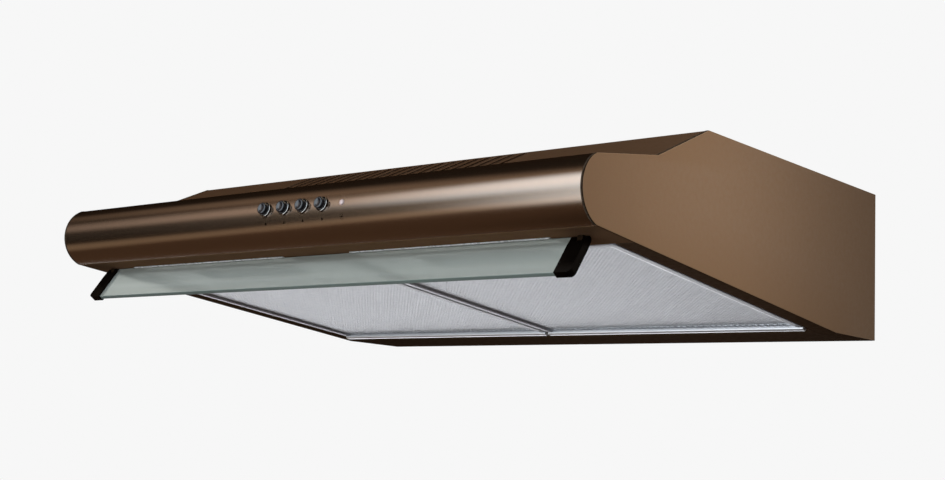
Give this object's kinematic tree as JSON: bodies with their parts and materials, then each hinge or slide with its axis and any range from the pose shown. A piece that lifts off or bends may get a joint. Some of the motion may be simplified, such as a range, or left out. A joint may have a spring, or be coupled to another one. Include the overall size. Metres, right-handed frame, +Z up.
{
  "type": "under cabinet range hood",
  "caption": "Slim under-cabinet range hood with rolled nose, push buttons, drop-down grease filters, swinging glass visor, enclosed blower and round duct collar.",
  "frame": {"origin": "middle of the flat back face that goes against the wall", "axes": "+X to the right seen from the front, +Y back into the wall, +Z up"},
  "size_m": [0.6, 0.4808, 0.166],
  "materials": {
    "body_brown": "satin",
    "zinc_steel": "satin",
    "filter_aluminium": "satin",
    "filter_mesh": "matte",
    "visor_glass": "gloss",
    "visor_black": "gloss",
    "button_grey": "gloss",
    "bezel_chrome": "polished",
    "pilot_pink": "gloss",
    "lamp_diffuser": "satin",
    "lamp_board": "matte",
    "white_plastic": "matte",
    "black_plastic": "matte",
    "rubber": "matte"
  },
  "bodies": {
    "hood": {"back_panel": "zinc_steel", "blower_scroll": "zinc_steel", "button_bezel_1": "bezel_chrome", "button_bezel_2": "bezel_chrome", "button_bezel_3": "bezel_chrome", "button_bezel_4": "bezel_chrome", "cable_grommet": "rubber", "capacitor": "white_plastic", "capacitor_clip": "zinc_steel", "centre_rail": "zinc_steel", "damper_pin": "zinc_steel", "front_underside_strip": "body_brown", "lamp_board_left": "lamp_board", "lamp_board_right": "lamp_board", "lamp_lens_left": "lamp_diffuser", "lamp_lens_right": "lamp_diffuser", "motor_body": "zinc_steel", "motor_plate": "zinc_steel", "nose_fascia": "body_brown", "outlet_collar": "black_plastic", "pilot_lens": "pilot_pink", "rear_underside_strip": "body_brown", "side_panel_left": "body_brown", "side_panel_right": "body_brown", "switch_block": "white_plastic", "terminal_box": "white_plastic", "terminal_box_lid": "white_plastic", "top_cover": "body_brown", "visor_lug_left": "body_brown", "visor_lug_right": "body_brown", "visor_pin_left": "zinc_steel", "visor_pin_right": "zinc_steel"},
    "visor": {"visor_glass": "visor_glass", "visor_holder_left": "visor_black", "visor_holder_right": "visor_black"},
    "filter_left": {"filter_frame_left": "filter_aluminium", "filter_face_left": "filter_aluminium", "filter_pad_left": "filter_mesh", "latch_cup_left": "filter_aluminium"},
    "filter_right": {"filter_frame_right": "filter_aluminium", "filter_face_right": "filter_aluminium", "filter_pad_right": "filter_mesh", "latch_cup_right": "filter_aluminium"},
    "latch_left": {"filter_latch_left": "button_grey"},
    "latch_right": {"filter_latch_right": "button_grey"},
    "button_1": {"button_1": "button_grey"},
    "button_2": {"button_2": "button_grey"},
    "button_3": {"button_3": "button_grey"},
    "button_4": {"button_4": "button_grey"},
    "fan": {"impeller": "black_plastic", "motor_shaft": "zinc_steel"},
    "flap_left": {"damper_flap_left": "black_plastic"},
    "flap_right": {"damper_flap_right": "black_plastic"}
  },
  "joints": [
    {"name": "visor_hinge", "type": "hinge", "parent": "hood", "child": "visor", "pos_m": [0, -0.43468, -0.03394], "axis": [1, 0, 0], "range_deg": [0, 108]},
    {"name": "filter_hinge_left", "type": "hinge", "parent": "hood", "child": "filter_left", "pos_m": [-0.1414, -0.10413, -0.06346], "axis": [1, 0, 0], "range_deg": [0, 80]},
    {"name": "latch_slide_left", "type": "slide", "parent": "filter_left", "child": "latch_left", "axis": [0, 0.9941, -0.1082], "range_m": [0, 0.005], "stiffness_N_per_m": 200, "springref_m": -0.002},
    {"name": "filter_hinge_right", "type": "hinge", "parent": "hood", "child": "filter_right", "pos_m": [0.1414, -0.10413, -0.06346], "axis": [1, 0, 0], "range_deg": [0, 80]},
    {"name": "latch_slide_right", "type": "slide", "parent": "filter_right", "child": "latch_right", "axis": [0, 0.9941, -0.1082], "range_m": [0, 0.005], "stiffness_N_per_m": 200, "springref_m": -0.002},
    {"name": "button_press_1", "type": "slide", "parent": "hood", "child": "button_1", "axis": [0, 0.9863, -0.165], "range_m": [0, 0.003], "stiffness_N_per_m": 500, "springref_m": -0.001},
    {"name": "button_press_2", "type": "slide", "parent": "hood", "child": "button_2", "axis": [0, 0.9863, -0.165], "range_m": [0, 0.003], "stiffness_N_per_m": 500, "springref_m": -0.001},
    {"name": "button_press_3", "type": "slide", "parent": "hood", "child": "button_3", "axis": [0, 0.9863, -0.165], "range_m": [0, 0.003], "stiffness_N_per_m": 500, "springref_m": -0.001},
    {"name": "button_press_4", "type": "slide", "parent": "hood", "child": "button_4", "axis": [0, 0.9863, -0.165], "range_m": [0, 0.003], "stiffness_N_per_m": 500, "springref_m": -0.001},
    {"name": "fan_spin", "type": "hinge", "parent": "hood", "child": "fan", "pos_m": [0, -0.153, 0.007], "axis": [1, 0, 0], "continuous": true},
    {"name": "flap_swing_left", "type": "hinge", "parent": "hood", "child": "flap_left", "pos_m": [0, -0.123, 0.081], "axis": [0, 1, 0], "range_deg": [0, 75]},
    {"name": "flap_swing_right", "type": "hinge", "parent": "hood", "child": "flap_right", "pos_m": [0, -0.123, 0.081], "axis": [0, -1, 0], "range_deg": [0, 75]}
  ]
}
